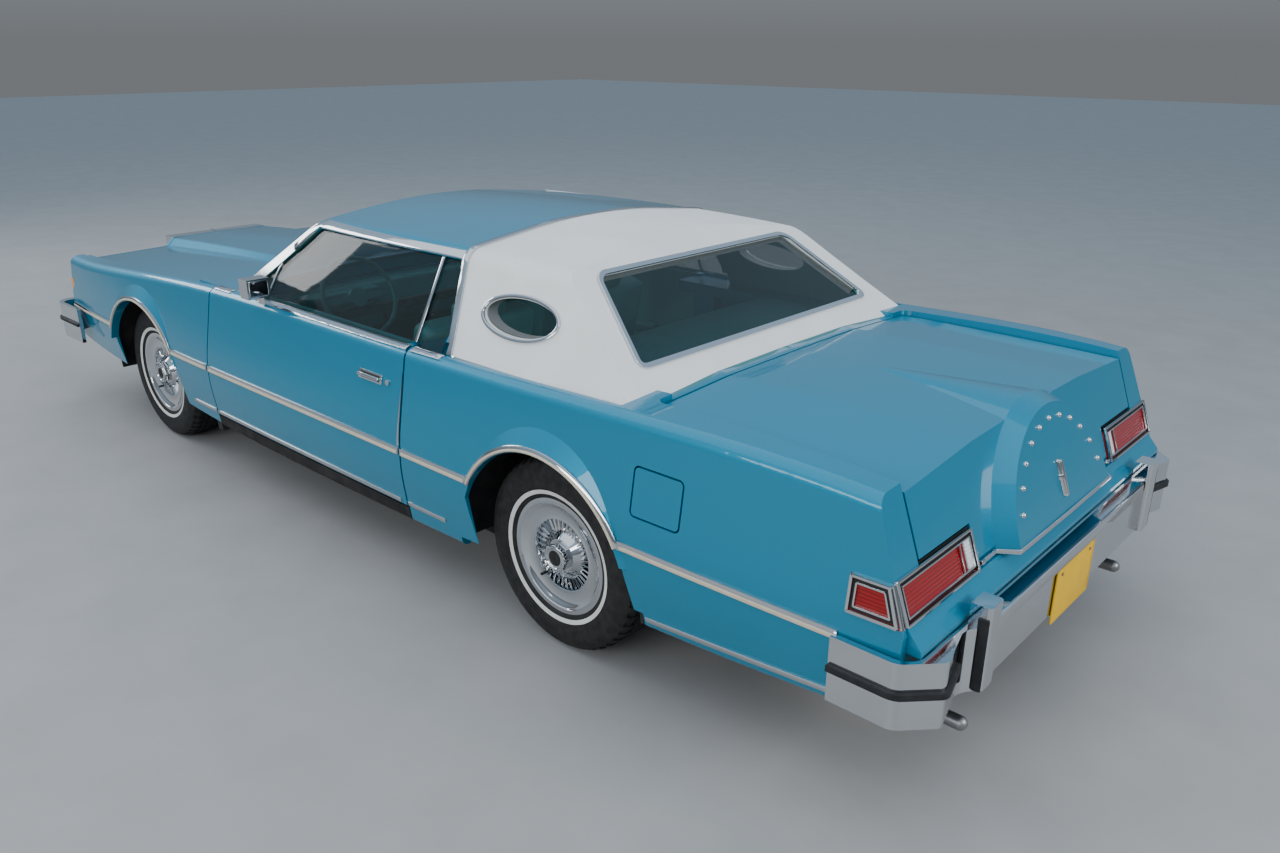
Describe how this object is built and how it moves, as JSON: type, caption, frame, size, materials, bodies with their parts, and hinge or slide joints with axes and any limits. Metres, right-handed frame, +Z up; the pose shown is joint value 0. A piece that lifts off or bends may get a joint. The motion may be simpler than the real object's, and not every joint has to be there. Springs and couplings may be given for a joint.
{
  "type": "personal luxury coupe",
  "caption": "Full-size two-door luxury coupe with a long hood, half vinyl roof, oval pillar windows, hidden headlamps and a round hump in the trunk lid.",
  "frame": {"origin": "on the ground, midway between the ends of the two bumpers, on the car's centre plane", "axes": "+X forward, +Y to the car's left, +Z up"},
  "size_m": [5.69, 2.008, 1.3564],
  "materials": {
    "paint": "glossy metallic turquoise",
    "vinyl": "white grained vinyl",
    "glass": "dark tinted, clear",
    "chrome": "polished",
    "tyre": "black rubber with a white band",
    "rubber": "matt black",
    "underbody": "matt black",
    "cast_metal": "rough",
    "steel": "dull",
    "red_lens": "clear red",
    "clear_lens": "clear white",
    "upholstery": "soft teal",
    "interior": "satin teal",
    "carpet": "cut pile",
    "trim_insert": "cream"
  },
  "bodies": {
    "body": {"frame_rails": "underbody", "floor_pan": "underbody", "front_aprons": "underbody", "rear_wheelhouses": "underbody", "engine": "cast_metal", "radiator": "underbody", "driveline": "cast_metal", "exhaust": "steel", "fuel_tank": "steel", "front_suspension": "cast_metal", "rear_axle": "cast_metal", "fender_left": "paint", "fender_right": "paint", "nose_panel": "paint", "grille": "chrome", "front_bumper": "chrome", "cowl": "paint", "roof": "paint", "landau_roof": "vinyl", "windshield": "glass", "rear_window": "glass", "side_glass": "glass", "quarter_left": "paint", "quarter_right": "paint", "rear_shelf": "paint", "rear_panel": "paint", "rear_bumper": "chrome", "tail_lamps": "red_lens", "headlamps": "clear_lens", "front_seats": "upholstery", "rear_seat": "upholstery", "dashboard": "interior"},
    "door_left": {"door_left": "paint", "door_glass_left": "glass", "mirror_left": "chrome"},
    "door_right": {"door_right": "paint", "door_glass_right": "glass", "mirror_right": "chrome"},
    "hood": {"hood": "paint"},
    "trunk_lid": {"trunk_lid": "paint"},
    "filler_door": {"filler_door": "paint"},
    "headlamp_cover_left": {"headlamp_cover_left": "paint"},
    "headlamp_cover_right": {"headlamp_cover_right": "paint"},
    "steering_wheel": {"steering_wheel": "interior"},
    "knuckle_left": {"knuckle_left": "cast_metal"},
    "knuckle_right": {"knuckle_right": "cast_metal"},
    "wheel_front_left": {"wheel_front_left": "chrome", "tyre_front_left": "tyre"},
    "wheel_front_right": {"wheel_front_right": "chrome", "tyre_front_right": "tyre"},
    "wheel_rear_left": {"wheel_rear_left": "chrome", "tyre_rear_left": "tyre"},
    "wheel_rear_right": {"wheel_rear_right": "chrome", "tyre_rear_right": "tyre"}
  },
  "joints": [
    {"name": "door_left_swing", "type": "hinge", "parent": "body", "child": "door_left", "pos_m": [0.892, 1.003, 0.6], "axis": [0, 0, -1], "range_deg": [0, 65]},
    {"name": "door_right_swing", "type": "hinge", "parent": "body", "child": "door_right", "pos_m": [0.892, -1.003, 0.6], "axis": [0, 0, 1], "range_deg": [0, 65]},
    {"name": "hood_swing", "type": "hinge", "parent": "body", "child": "hood", "pos_m": [0.88, 0, 0.93], "axis": [0, -1, 0], "range_deg": [0, 48]},
    {"name": "trunk_lid_swing", "type": "hinge", "parent": "body", "child": "trunk_lid", "pos_m": [-1.754, 0, 0.977], "axis": [0, 1, 0], "range_deg": [0, 62]},
    {"name": "filler_door_swing", "type": "hinge", "parent": "body", "child": "filler_door", "pos_m": [-1.8155, 0.97, 0.752], "axis": [0, 0, -1], "range_deg": [0, 95]},
    {"name": "headlamp_cover_left_turn", "type": "hinge", "parent": "body", "child": "headlamp_cover_left", "pos_m": [2.535, 0.555, 0.64], "axis": [0, -1, 0], "range_deg": [0, 88]},
    {"name": "headlamp_cover_right_turn", "type": "hinge", "parent": "body", "child": "headlamp_cover_right", "pos_m": [2.535, -0.555, 0.64], "axis": [0, -1, 0], "range_deg": [0, 88]},
    {"name": "steer_left", "type": "hinge", "parent": "body", "child": "knuckle_left", "pos_m": [1.646, 0.7, 0.355], "axis": [0, 0, 1], "range_deg": [-33, 33]},
    {"name": "steer_right", "type": "hinge", "parent": "body", "child": "knuckle_right", "pos_m": [1.646, -0.7, 0.355], "axis": [0, 0, 1], "range_deg": [-33, 33]},
    {"name": "steering_wheel_turn", "type": "hinge", "parent": "body", "child": "steering_wheel", "pos_m": [0.515, 0.372, 0.862], "axis": [-0.9135, 0, 0.4067], "range_deg": [-500, 500]},
    {"name": "wheel_front_left_spin", "type": "hinge", "parent": "knuckle_left", "child": "wheel_front_left", "pos_m": [1.646, 0.8, 0.355], "axis": [0, 1, 0], "continuous": true},
    {"name": "wheel_front_right_spin", "type": "hinge", "parent": "knuckle_right", "child": "wheel_front_right", "pos_m": [1.646, -0.8, 0.355], "axis": [0, 1, 0], "continuous": true},
    {"name": "wheel_rear_left_spin", "type": "hinge", "parent": "body", "child": "wheel_rear_left", "pos_m": [-1.412, 0.8, 0.355], "axis": [0, 1, 0], "continuous": true},
    {"name": "wheel_rear_right_spin", "type": "hinge", "parent": "body", "child": "wheel_rear_right", "pos_m": [-1.412, -0.8, 0.355], "axis": [0, 1, 0], "continuous": true}
  ],
  "couplings": [
    {"joint": "steer_right", "follows": "steer_left", "ratio": 1},
    {"joint": "steering_wheel_turn", "follows": "steer_left", "ratio": 15}
  ]
}
